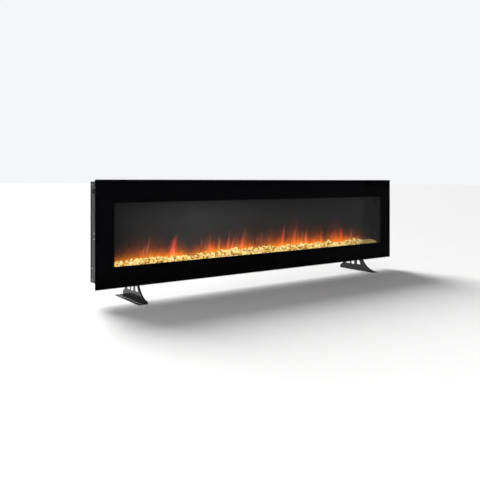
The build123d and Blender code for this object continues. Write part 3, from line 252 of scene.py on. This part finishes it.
# foot x, foot z, tip x, tip z, width, glow and colour of each tongue, in millimetres
tongues = [
    (-654, 203, -632, 283, 8, 0.80, PINK),
    (-672, 207, -652, 248, 8, 0.55, PINK),
    (-678, 185, -674, 224, 30, 0.45, SCARLET),
    (-642, 189, -636, 214, 22, 0.35, ORANGE),
    (-527, 183, -502, 279, 27, 1.05, RED),
    (-525, 185, -504, 273, 15, 0.75, PINK),
    (-521, 183, -491, 297, 7, 0.30, FAINT_GLOW),
    (-583, 188, -577, 227, 30, 0.35, RED),
    (-370, 217, -366, 270, 8, 0.30, PINK),
    (-348, 207, -344, 250, 9, 0.30, FAINT_GLOW),
    (-390, 188, -389, 228, 26, 0.40, RED),
    (-326, 193, -318, 273, 9, 0.50, PINK),
    (-328, 185, -324, 228, 30, 0.75, SCARLET),
    (-298, 189, -296, 242, 24, 0.55, RED),
    (-272, 189, -269, 248, 11, 0.90, ORANGE),
    (-268, 217, -259, 286, 9, 0.25, FAINT_GLOW),
    (-216, 191, -207, 293, 9, 0.70, PINK),
    (-217, 188, -214, 246, 17, 0.75, RED),
    (-191, 191, -179, 254, 10, 0.65, PINK),
    (-193, 187, -189, 234, 16, 0.55, RED),
    (-163, 202, -161, 242, 8, 0.45, PINK),
    (-135, 189, -108, 297, 11, 0.55, PINK),
    (-137, 187, -120, 250, 22, 0.85, SCARLET),
    (-112, 252, -106, 321, 6, 0.16, FAINT_GLOW),
    (-84, 187, -82, 228, 15, 0.65, SCARLET),
    (-38, 220, -36, 258, 9, 0.30, PINK),
    (-12, 224, -4, 270, 9, 0.32, PINK),
    (17, 187, 23, 260, 46, 0.26, PINK),
    (125, 187, 141, 293, 17, 0.80, RED),
    (129, 189, 143, 287, 10, 0.50, PINK),
    (141, 252, 149, 323, 8, 0.16, FAINT_GLOW),
    (95, 187, 99, 238, 26, 0.50, SCARLET),
    (161, 187, 163, 220, 20, 0.35, RED),
    (207, 191, 228, 293, 9, 0.65, PINK),
    (204, 187, 212, 264, 22, 0.65, RED),
    (240, 189, 242, 238, 18, 0.65, SCARLET),
    (262, 189, 267, 260, 10, 0.70, ORANGE),
    (292, 187, 301, 274, 10, 0.70, PINK),
    (290, 187, 294, 248, 18, 0.70, SCARLET),
    (326, 189, 330, 222, 16, 0.45, RED),
    (348, 187, 350, 218, 26, 0.60, RED),
    (384, 193, 386, 242, 14, 0.50, RED),
    (404, 187, 407, 246, 12, 0.70, SCARLET),
    (412, 238, 421, 293, 7, 0.24, PINK),
    (481, 191, 489, 234, 12, 0.50, SCARLET),
    (493, 193, 505, 272, 9, 0.45, PINK),
    (503, 252, 509, 305, 7, 0.16, FAINT_GLOW),
    (517, 187, 522, 256, 21, 0.95, RED),
    (558, 185, 562, 270, 19, 1.05, RED),
    (560, 187, 563, 258, 10, 0.40, SCARLET),
    (597, 187, 601, 224, 22, 0.45, RED),
    (619, 189, 621, 212, 14, 0.35, PINK),
    (640, 189, 644, 268, 11, 0.55, PINK),
    (645, 207, 651, 252, 14, 0.25, RED),
    (689, 187, 691, 208, 24, 0.30, ORANGE),
    (749, 183, 753, 198, 20, 0.22, ORANGE),
]
millimetres_x, millimetres_z = grid_x * 1000, grid_z * 1000
picture = np.zeros((rows, columns, 3))
for foot_x, foot_z, tip_x, tip_z, width, glow, colour in tongues:
    rise = (millimetres_z - foot_z) / (tip_z - foot_z)
    along = np.clip(rise, 0, 1)
    middle = foot_x + (tip_x - foot_x) * along**1.4 + 1.6 * np.sin(along * 5 + foot_x)
    girth = width * (0.25 + 0.75 * (1 - along) ** 0.75)
    fade = np.clip(1 - rise, 0, 1) ** 0.9 / (1 + np.exp(-(millimetres_z - foot_z + 6) / 5))
    blade = glow * fade * np.exp(-(((millimetres_x - middle) / girth * 1.25) ** 2) ** 1.15)
    picture += blade[..., None] * np.array(colour)

# The low fire behind the crystals, painted on the sheet as a glow: uneven along the bed, and fading out
# before the right end.
dice = np.random.default_rng(5)


def drift(size, reach):
    """Smooth random values along x between 0 and 1."""
    knots = dice.uniform(0, 1, size)
    return np.interp(grid_x[0], np.linspace(-reach, reach, size), knots)


strength_x = [
    -850, -800, -761, -701, -603, -484, -435, -385, -306, -187, -108, -48, 12, 81, 190, 290, 410,
    449, 549, 629, 709, 779, 850,
]
strength_y = [
    0.0, 0.30, 0.62, 0.66, 0.72, 0.82, 0.42, 0.60, 0.95, 0.92, 0.95, 0.55, 0.62, 0.95, 0.95, 1.0,
    0.85, 0.55, 0.9, 0.8, 0.45, 0.10, 0.0,
]
reach_y = [
    20, 24, 30, 36, 34, 30, 26, 30, 38, 40, 38, 40, 42, 46, 50, 46, 40, 40, 50, 40, 30, 20, 15,
]
strength = np.interp(millimetres_x[0], strength_x, strength_y) * (0.72 + 0.5 * drift(70, 0.85))
reach = np.interp(millimetres_x[0], strength_x, reach_y) * (0.75 + 0.5 * drift(50, 0.85))
above = np.clip(millimetres_z - 180, 0, None)
near = np.exp(-((above / (reach * 0.42)) ** 1.3)) * strength
far = np.exp(-((above / (reach * 1.25)) ** 1.8)) * strength
picture += near[..., None] * np.array((0.86, 0.260, 0.004))
picture += far[..., None] * np.array((0.340, 0.055, 0.003))

# Stray light from the lamps, painted into the sheet as a grey glow, greys it unevenly: most left of the
# middle, least at the ends and along the top.
stray_glow_x = [-850, -820, -700, -420, -200, 0, 500, 700, 770, 850]
stray_glow_y = [0.003, 0.006, 0.018, 0.036, 0.030, 0.020, 0.014, 0.010, 0.002, 0.0]
stray_glow = np.interp(millimetres_x, stray_glow_x, stray_glow_y)
stray_glow *= np.interp(millimetres_z, [200, 350, 390, 432], [0.9, 1.0, 0.7, 0.45])
picture += (stray_glow * (1 - 0.6 * np.clip(far, 0, 1)))[..., None] * np.array((1.0, 0.96, 0.95))

flicker = bpy.data.meshes.new("flame_screen_lit")
front_y, back_y = screen_low.y, screen_high.y
points = np.stack([grid_x, np.full_like(grid_x, front_y), grid_z], -1).reshape(-1, 3)
index = np.arange(rows * columns).reshape(rows, columns)
faces = np.stack([index[:-1, :-1], index[:-1, 1:], index[1:, 1:], index[1:, :-1]], -1).reshape(-1, 4)
rim = np.concatenate([index[0], index[1:, -1], index[-1, -2::-1], index[-2:0:-1, 0]])
behind = points[rim] + (0, back_y - front_y, 0)
first = len(points)
ring = np.arange(len(rim))
following = np.roll(ring, -1)
walls = np.stack([rim[following], rim[ring], first + ring, first + following], -1)
back_face = (first + ring).tolist()[::-1]
flicker.from_pydata(
    np.concatenate([points, behind]).tolist(), [], faces.tolist() + walls.tolist() + [back_face]
)
colours = np.zeros((first + len(rim), 4), np.float32)
colours[:first, :3] = picture.reshape(-1, 3)
colours[:, 3] = 1.0
flames = flicker.color_attributes.new("flames", "FLOAT_COLOR", "POINT")
flames.data.foreach_set("color", colours.ravel())
screen = bpy.data.objects.new("flame_screen_lit", flicker)
bpy.context.scene.collection.objects.link(screen)

acrylic, tree, shader = material("smoked_acrylic")
smoke_dark, smoke_light = (0.010, 0.010, 0.010), (0.014, 0.0135, 0.0135)
grained(tree, shader, smoke_dark, smoke_light, 0.55, 0.65, 700.0, 0.6, 0.05, 0.0002)
shader.inputs["Specular IOR Level"].default_value = 0.1
shader.inputs["Emission Strength"].default_value = 1.0
# The emission paints the flame light, the low glow and the stray light onto the sheet, streaked up and
# down by stretched noise.
paint = tree.nodes.new("ShaderNodeVertexColor")
paint.layer_name = "flames"
streak_at = node(tree, "ShaderNodeMapping", Scale=(260.0, 1.0, 34.0))
spot = tree.nodes.new("ShaderNodeTexCoord")
streaks = node(tree, "ShaderNodeTexNoise", Scale=1.0, Detail=2.0, Roughness=0.5)
tree.links.new(spot.outputs["Object"], streak_at.inputs["Vector"])
tree.links.new(streak_at.outputs["Vector"], streaks.inputs["Vector"])
depth = node(tree, "ShaderNodeMapRange", From_Min=0.3, From_Max=0.7, To_Min=0.62, To_Max=1.18)
tree.links.new(streaks.outputs["Fac"], depth.inputs["Value"])
lit = tree.nodes.new("ShaderNodeVectorMath")
lit.operation = "SCALE"
tree.links.new(paint.outputs["Color"], lit.inputs[0])
tree.links.new(depth.outputs["Result"], lit.inputs["Scale"])
tree.links.new(lit.outputs["Vector"], shader.inputs["Emission Color"])
flicker.materials.append(acrylic)
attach(screen, "case")
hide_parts("flame_screen")


# The ember bed: clear faceted acrylic crystals heaped on the tray, lit amber from underneath.
# Small ones fill the front edge and larger ones lie on top, higher here and there where they pile up.
pick = random.Random(21)
crystal_kinds = []
for kind in range(14):
    stone = bmesh.new()
    for i in range(11):
        turn, tilt = i * 2.399, math.acos(1 - 2 * (i + 0.5) / 11)
        swell = pick.uniform(0.82, 1.1)
        stone.verts.new(
            (
                swell * math.sin(tilt) * math.cos(turn),
                swell * math.sin(tilt) * math.sin(turn) * 0.86,
                swell * math.cos(tilt) * 0.78,
            )
        )
    hull = bmesh.ops.convex_hull(stone, input=stone.verts)
    inner = [v for v in hull["geom_interior"] if isinstance(v, bmesh.types.BMVert)]
    bmesh.ops.delete(stone, geom=inner, context="VERTS")
    stone.verts.ensure_lookup_table()
    stone.verts.index_update()
    stone_sides = [[v.index for v in face.verts] for face in stone.faces]
    crystal_kinds.append(([v.co.copy() for v in stone.verts], stone_sides))
    stone.free()

profile_x = [
    -830, -780, -741, -701, -652, -613, -593, -553, -464, -435, -405, -385, -355, -326, -306, -286,
    -256, -227, -207, -187, -167, -137, -108, -78, -48, -28, -8, 12, 31, 61, 86, 111, 141, 166,
    190, 205, 220, 250, 290, 320, 370, 390, 429, 444, 459, 469, 484, 499, 549, 569, 594, 619, 639,
    659, 679, 694, 714, 734, 764, 789, 819,
]
profile_z = [
    175, 178, 179, 184, 182, 186, 182, 179, 179, 172, 172, 184, 186, 184, 179, 186, 193, 185, 191,
    201, 185, 186, 184, 190, 182, 194, 196, 187, 191, 185, 180, 186, 182, 196, 182, 176, 188, 187,
    185, 181, 188, 183, 178, 195, 198, 185, 186, 179, 175, 182, 179, 186, 199, 187, 185, 188, 183,
    176, 181, 178, 172,
]
vertices, stone_faces, face_lights = [], [], []
# y of each row, share of the heap's height, crystal radius and its pitch
layers = [
    (-51.0, 0.20, 7.5, 12.0),
    (-46.0, 0.45, 9.5, 15.0),
    (-39.0, 0.66, 10.5, 17.0),
    (-31.0, 0.84, 11.5, 19.0),
    (-25.0, 0.97, 11.0, 21.0),
]
for layer, (row_y, share, radius, pitch) in enumerate(layers):
    count = int(1652 / pitch)
    for i in range(count):
        x = -826 + 1652 * (i + 0.5) / count + pick.uniform(-0.35, 0.35) * pitch
        size = radius * pick.uniform(0.72, 1.25)
        top = float(np.interp(x, profile_x, profile_z))
        z = 153 + (top - 153) * share - size * 0.55 + pick.uniform(-2.0, 2.5)
        y = row_y + pick.uniform(-2.0, 2.0)
        y = min(max(y, -59.0 + size * 0.9), -19.0 - size * 0.9)
        spin_axis = Vector((pick.uniform(-1, 1), pick.uniform(-1, 1), pick.uniform(-1, 1))).normalized()
        turn = Matrix.Rotation(pick.uniform(0, 6.28), 3, spin_axis)
        corners, sides = pick.choice(crystal_kinds)
        start = len(vertices)
        vertices += [((turn @ corner) * size + Vector((x, y, z))) / 1000 for corner in corners]
        stone_faces += [[start + v for v in side] for side in sides]
        # Each face's glow level is painted light and shade: a random level, brighter on the front row,
        # lighter on faces turned up and darker on faces turned down or back.
        face_light = pick.uniform(0.12, 0.66) + (0.30 if layer == 0 else 0.0)
        for side in sides:
            facing = sum((turn @ corners[v] for v in side), Vector()).normalized()
            facing_light = 0.5 * facing.z - 0.1 * facing.y + pick.uniform(-0.32, 0.32)
            face_lights.append(min(1.0, max(0.0, face_light + facing_light)))
embers = bpy.data.meshes.new("ember_heap")
embers.from_pydata([tuple(v) for v in vertices], [], stone_faces)
light_of = embers.attributes.new("face_light", "FLOAT", "FACE")
light_of.data.foreach_set("value", face_lights)
ember_heap = bpy.data.objects.new("ember_heap", embers)
bpy.context.scene.collection.objects.link(ember_heap)

crystal, tree, shader = material("lit_crystal")
light_node = tree.nodes.new("ShaderNodeAttribute")
light_node.attribute_name = "face_light"
# The ramp turns each face's painted light level into emitted colour, from painted dark-brown shade in
# the gaps to bright cream.
ember_ramp = tree.nodes.new("ShaderNodeValToRGB")
ember_ramp.color_ramp.elements[0].color = (0.10, 0.030, 0.004, 1)
ember_ramp.color_ramp.elements[1].color = (1.0, 0.86, 0.42, 1)
ember_ramp.color_ramp.elements.new(0.25).color = (0.36, 0.140, 0.018, 1)
ember_ramp.color_ramp.elements.new(0.52).color = (0.78, 0.46, 0.080, 1)
ember_ramp.color_ramp.elements.new(0.78).color = (0.95, 0.76, 0.26, 1)
tree.links.new(light_node.outputs["Fac"], ember_ramp.inputs["Fac"])
tree.links.new(ember_ramp.outputs["Color"], shader.inputs["Emission Color"])
shader.inputs["Emission Strength"].default_value = 1.0
grained(tree, shader, (0.14, 0.09, 0.03), (0.22, 0.15, 0.06), 0.06, 0.2, 300.0, 0.8, 0.15, 0.0006)
embers.materials.append(crystal)
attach(ember_heap, "case")
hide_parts("ember_crystals")

# The tray under the crystals: one clear moulding with two steps, closed at its ends.
# The light of the lamps on the rail below is painted into it as a deep amber glow.
tray_glow, tree, shader = material("amber_tray")
grained(tree, shader, (0.16, 0.08, 0.02), (0.24, 0.12, 0.03), 0.3, 0.45, 300.0, 0.8, 0.1, 0.0005)
shader.inputs["Emission Color"].default_value = (0.30, 0.085, 0.010, 1.0)
shader.inputs["Emission Strength"].default_value = 0.8
dress(tray_glow, "ember_tray")


# The case: folded sheet steel, screwed together, with a fine textured black powder coat.
# The coat is thinner on folded edges, where a little grey shows, and dust settles on top.
wear, wear_in, wear_out = group(
    "thin_edges",
    [("Width", "NodeSocketFloat", 0.001), ("Amount", "NodeSocketFloat", 0.5)],
    [("Mask", "NodeSocketFloat")],
)
bevel = wear.nodes.new("ShaderNodeBevel")
bevel.samples = 4
plain = wear.nodes.new("ShaderNodeNewGeometry")
agree = wear.nodes.new("ShaderNodeVectorMath")
agree.operation = "DOT_PRODUCT"
patches = node(wear, "ShaderNodeTexNoise", Scale=45.0, Detail=4.0)
edge = node(wear, "ShaderNodeMapRange", From_Min=0.995, From_Max=0.8)
broken = wear.nodes.new("ShaderNodeMath")
broken.operation = "MULTIPLY"
strength_of = wear.nodes.new("ShaderNodeMath")
strength_of.operation = "MULTIPLY"
wear.links.new(wear_in.outputs["Width"], bevel.inputs["Radius"])
wear.links.new(bevel.outputs["Normal"], agree.inputs[0])
wear.links.new(plain.outputs["Normal"], agree.inputs[1])
wear.links.new(agree.outputs["Value"], edge.inputs["Value"])
wear.links.new(edge.outputs["Result"], broken.inputs[0])
wear.links.new(patches.outputs["Fac"], broken.inputs[1])
wear.links.new(broken.outputs[0], strength_of.inputs[0])
wear.links.new(wear_in.outputs["Amount"], strength_of.inputs[1])
wear.links.new(strength_of.outputs[0], wear_out.inputs["Mask"])

dust, dust_in, dust_out = group(
    "settled_dust", [("Amount", "NodeSocketFloat", 0.3)], [("Mask", "NodeSocketFloat")]
)
facing = dust.nodes.new("ShaderNodeNewGeometry")
split = dust.nodes.new("ShaderNodeSeparateXYZ")
upward = node(dust, "ShaderNodeMapRange", From_Min=0.6, From_Max=1.0)
spread = node(dust, "ShaderNodeTexNoise", Scale=22.0, Detail=6.0, Roughness=0.65)
thick = node(dust, "ShaderNodeMapRange", From_Min=0.4, From_Max=0.7)
both = dust.nodes.new("ShaderNodeMath")
both.operation = "MULTIPLY"
amount = dust.nodes.new("ShaderNodeMath")
amount.operation = "MULTIPLY"
dust.links.new(facing.outputs["Normal"], split.inputs[0])
dust.links.new(split.outputs["Z"], upward.inputs["Value"])
dust.links.new(spread.outputs["Fac"], thick.inputs["Value"])
dust.links.new(upward.outputs["Result"], both.inputs[0])
dust.links.new(thick.outputs["Result"], both.inputs[1])
dust.links.new(both.outputs[0], amount.inputs[0])
dust.links.new(dust_in.outputs["Amount"], amount.inputs[1])
dust.links.new(amount.outputs[0], dust_out.inputs["Mask"])


def worn(tree, shader, colour, under, width, wear_amount, dust_amount):
    """Lays edge wear and dust over a surface's colour."""
    worn_edges = placed(tree, wear, Width=width, Amount=wear_amount)
    grey = tree.nodes.new("ShaderNodeMix")
    grey.data_type = "RGBA"
    grey.inputs["B"].default_value = (*under, 1.0)
    powder = tree.nodes.new("ShaderNodeMix")
    powder.data_type = "RGBA"
    powder.inputs["B"].default_value = (0.16, 0.155, 0.15, 1.0)
    dusty = placed(tree, dust, Amount=dust_amount)
    tree.links.new(worn_edges.outputs["Mask"], grey.inputs["Factor"])
    tree.links.new(colour, grey.inputs["A"])
    tree.links.new(dusty.outputs["Mask"], powder.inputs["Factor"])
    tree.links.new(grey.outputs["Result"], powder.inputs["A"])
    tree.links.new(powder.outputs["Result"], shader.inputs["Base Color"])


coat, tree, shader = material("textured_black_coat")
coat_dark, coat_light = (0.012, 0.012, 0.013), (0.021, 0.021, 0.022)
texture, ramp = grained(tree, shader, coat_dark, coat_light, 0.42, 0.6, 1100.0, 1.1, 0.5, 0.0003)
worn(tree, shader, ramp.outputs["Result"], (0.07, 0.07, 0.072), 0.0012, 0.6, 0.10)
dress(
    coat, "fascia_top", "fascia_bottom", "fascia_sides", "top_wall", "bottom_wall",
    "left_end_plate", "right_end_plate", "rear_cover", "service_cover", "side_access_cover",
    "recess_brackets", "firebox_liners", "screen_channels",
)


# The feet: folded steel plate with cut-outs, screwed up into the bottom wall.
# Their coat is smoother than the case's and mirrors the case and the room.
satin, tree, shader = material("satin_black_coat")
gloss_dark, gloss_light = (0.006, 0.006, 0.007), (0.011, 0.011, 0.012)
texture, ramp = grained(tree, shader, gloss_dark, gloss_light, 0.07, 0.15, 900.0, 0.9, 0.10, 0.0001)
worn(tree, shader, ramp.outputs["Result"], (0.06, 0.06, 0.062), 0.001, 0.5, 0.06)
shader.inputs["Specular IOR Level"].default_value = 0.40
dress(satin, "foot_left", "foot_right")

# Grilles, vents, gland, switch housing, bezel and bearing: injection-moulded black nylon.
# The moulds are spark-eroded, which leaves a fine matt texture.
nylon, tree, shader = material("black_nylon")
nylon_dark, nylon_light = (0.011, 0.011, 0.012), (0.019, 0.019, 0.020)
texture, ramp = grained(tree, shader, nylon_dark, nylon_light, 0.45, 0.6, 1500.0, 0.9, 0.3, 0.0002)
worn(tree, shader, ramp.outputs["Result"], (0.045, 0.045, 0.046), 0.0006, 0.5, 0.10)
dress(
    nylon, "side_vents", "outlet_grille", "cord_gland", "rocker_housing", "button_bezel",
    "thermal_cutout", "fan_bearing",
)

# Rocker, buttons and display lens: smooth black mouldings that click into their housings.
# They come from polished moulds and are glossier than the parts around them.
smooth, tree, shader = material("smooth_black_moulding")
grained(tree, shader, (0.016, 0.016, 0.017), (0.024, 0.024, 0.025), 0.18, 0.32, 600.0, 0.8, 0.05, 0.0001)
dress(smooth, "power_rocker", "button_heat", "button_flame", "button_power", "display_module")


# Screws, hooks, rails and inserts: pressed and turned steel with bright zinc plating,
# faintly blue and clouded. The foot screws are blackened instead.
def plated(name, dark, light, rough_low, rough_high, pitch):
    made, tree, shader = material(name)
    grained(tree, shader, dark, light, rough_low, rough_high, pitch, 1.2, 0.08, 0.0002)
    shader.inputs["Metallic"].default_value = 1.0
    return made


zinc = plated("bright_zinc", (0.42, 0.43, 0.45), (0.62, 0.63, 0.66), 0.28, 0.42, 500.0)
dress(zinc, "panel_cross_rails", "panel_side_rails", "panel_hooks", "rivet_nuts", "case_screws")
blackened = plated("blackened_steel", (0.05, 0.05, 0.052), (0.09, 0.09, 0.094), 0.35, 0.5, 500.0)
dress(blackened, "foot_screws")

# Deck, ribs, brackets, stencil and scroll housing: cut and folded galvanised sheet.
# The zinc shows its spangle of crystals, each a slightly different grey.
spangled, tree, shader = material("galvanised_sheet")
cells = node(tree, "ShaderNodeTexVoronoi", Scale=110.0, Randomness=1.0)
spot = tree.nodes.new("ShaderNodeTexCoord")
shade = node(tree, "ShaderNodeMapRange", To_Min=0.36, To_Max=0.58)
sheen = node(tree, "ShaderNodeMapRange", To_Min=0.3, To_Max=0.5)
grey = tree.nodes.new("ShaderNodeCombineColor")
tree.links.new(spot.outputs["Object"], cells.inputs["Vector"])
tree.links.new(cells.outputs["Color"], shade.inputs["Value"])
tree.links.new(cells.outputs["Color"], sheen.inputs["Value"])
for channel in ("Red", "Green", "Blue"):
    tree.links.new(shade.outputs["Result"], grey.inputs[channel])
tree.links.new(grey.outputs["Color"], shader.inputs["Base Color"])
tree.links.new(sheen.outputs["Result"], shader.inputs["Roughness"])
shader.inputs["Metallic"].default_value = 1.0
dress(spangled, "mid_deck", "tray_ribs", "rotor_brackets", "flame_stencil", "fan_housing")

# Turned and rolled metals: ground shafts, drawn motor cans, extruded aluminium rails, the fan wheel,
# folded heater fins, mirrored foils and sintered bushes.
shaft = plated("ground_shaft", (0.48, 0.48, 0.49), (0.6, 0.6, 0.61), 0.18, 0.3, 900.0)
dress(shaft, "rotor_shaft", "fan_shaft")
can = plated("motor_can", (0.33, 0.33, 0.34), (0.46, 0.46, 0.48), 0.3, 0.45, 400.0)
dress(can, "rotor_motor", "fan_motor")
aluminium = plated("mill_aluminium", (0.58, 0.58, 0.6), (0.72, 0.72, 0.74), 0.3, 0.45, 700.0)
dress(aluminium, "led_rails", "led_driver", "fan_wheel")
fins = plated("heater_fins", (0.38, 0.37, 0.36), (0.55, 0.54, 0.52), 0.35, 0.5, 500.0)
dress(fins, "ptc_heater")
foil = plated("mirror_foil", (0.78, 0.78, 0.78), (0.88, 0.88, 0.88), 0.04, 0.12, 200.0)
dress(foil, "flame_foils")
bronze = plated("sintered_bronze", (0.42, 0.27, 0.11), (0.55, 0.37, 0.16), 0.35, 0.5, 1200.0)
dress(bronze, "rotor_bushes")


# Electronics: white lamp boards with warm chips, the green control board with its dark
# components on posts, and sleeved wires between them.
def moulding(name, dark, light, rough_low, rough_high):
    made, tree, shader = material(name)
    grained(tree, shader, dark, light, rough_low, rough_high, 700.0, 0.8, 0.1, 0.0002)
    return made, shader


white_mask, shader = moulding("white_board_mask", (0.70, 0.70, 0.67), (0.80, 0.80, 0.77), 0.3, 0.4)
dress(white_mask, "led_boards")
phosphor, shader = moulding("warm_phosphor", (0.85, 0.60, 0.15), (0.95, 0.70, 0.22), 0.3, 0.4)
shader.inputs["Emission Color"].default_value = (1.0, 0.45, 0.10, 1.0)
shader.inputs["Emission Strength"].default_value = 2.0
dress(phosphor, "led_chips")
green_mask, shader = moulding("green_board_mask", (0.010, 0.10, 0.035), (0.015, 0.15, 0.05), 0.25, 0.4)
dress(green_mask, "control_board")
component, shader = moulding("component_moulding", (0.02, 0.035, 0.09), (0.03, 0.05, 0.13), 0.3, 0.45)
dress(component, "board_parts")
sleeve, shader = moulding("wire_sleeve", (0.02, 0.02, 0.02), (0.035, 0.035, 0.035), 0.35, 0.5)
dress(sleeve, "wire_harness")
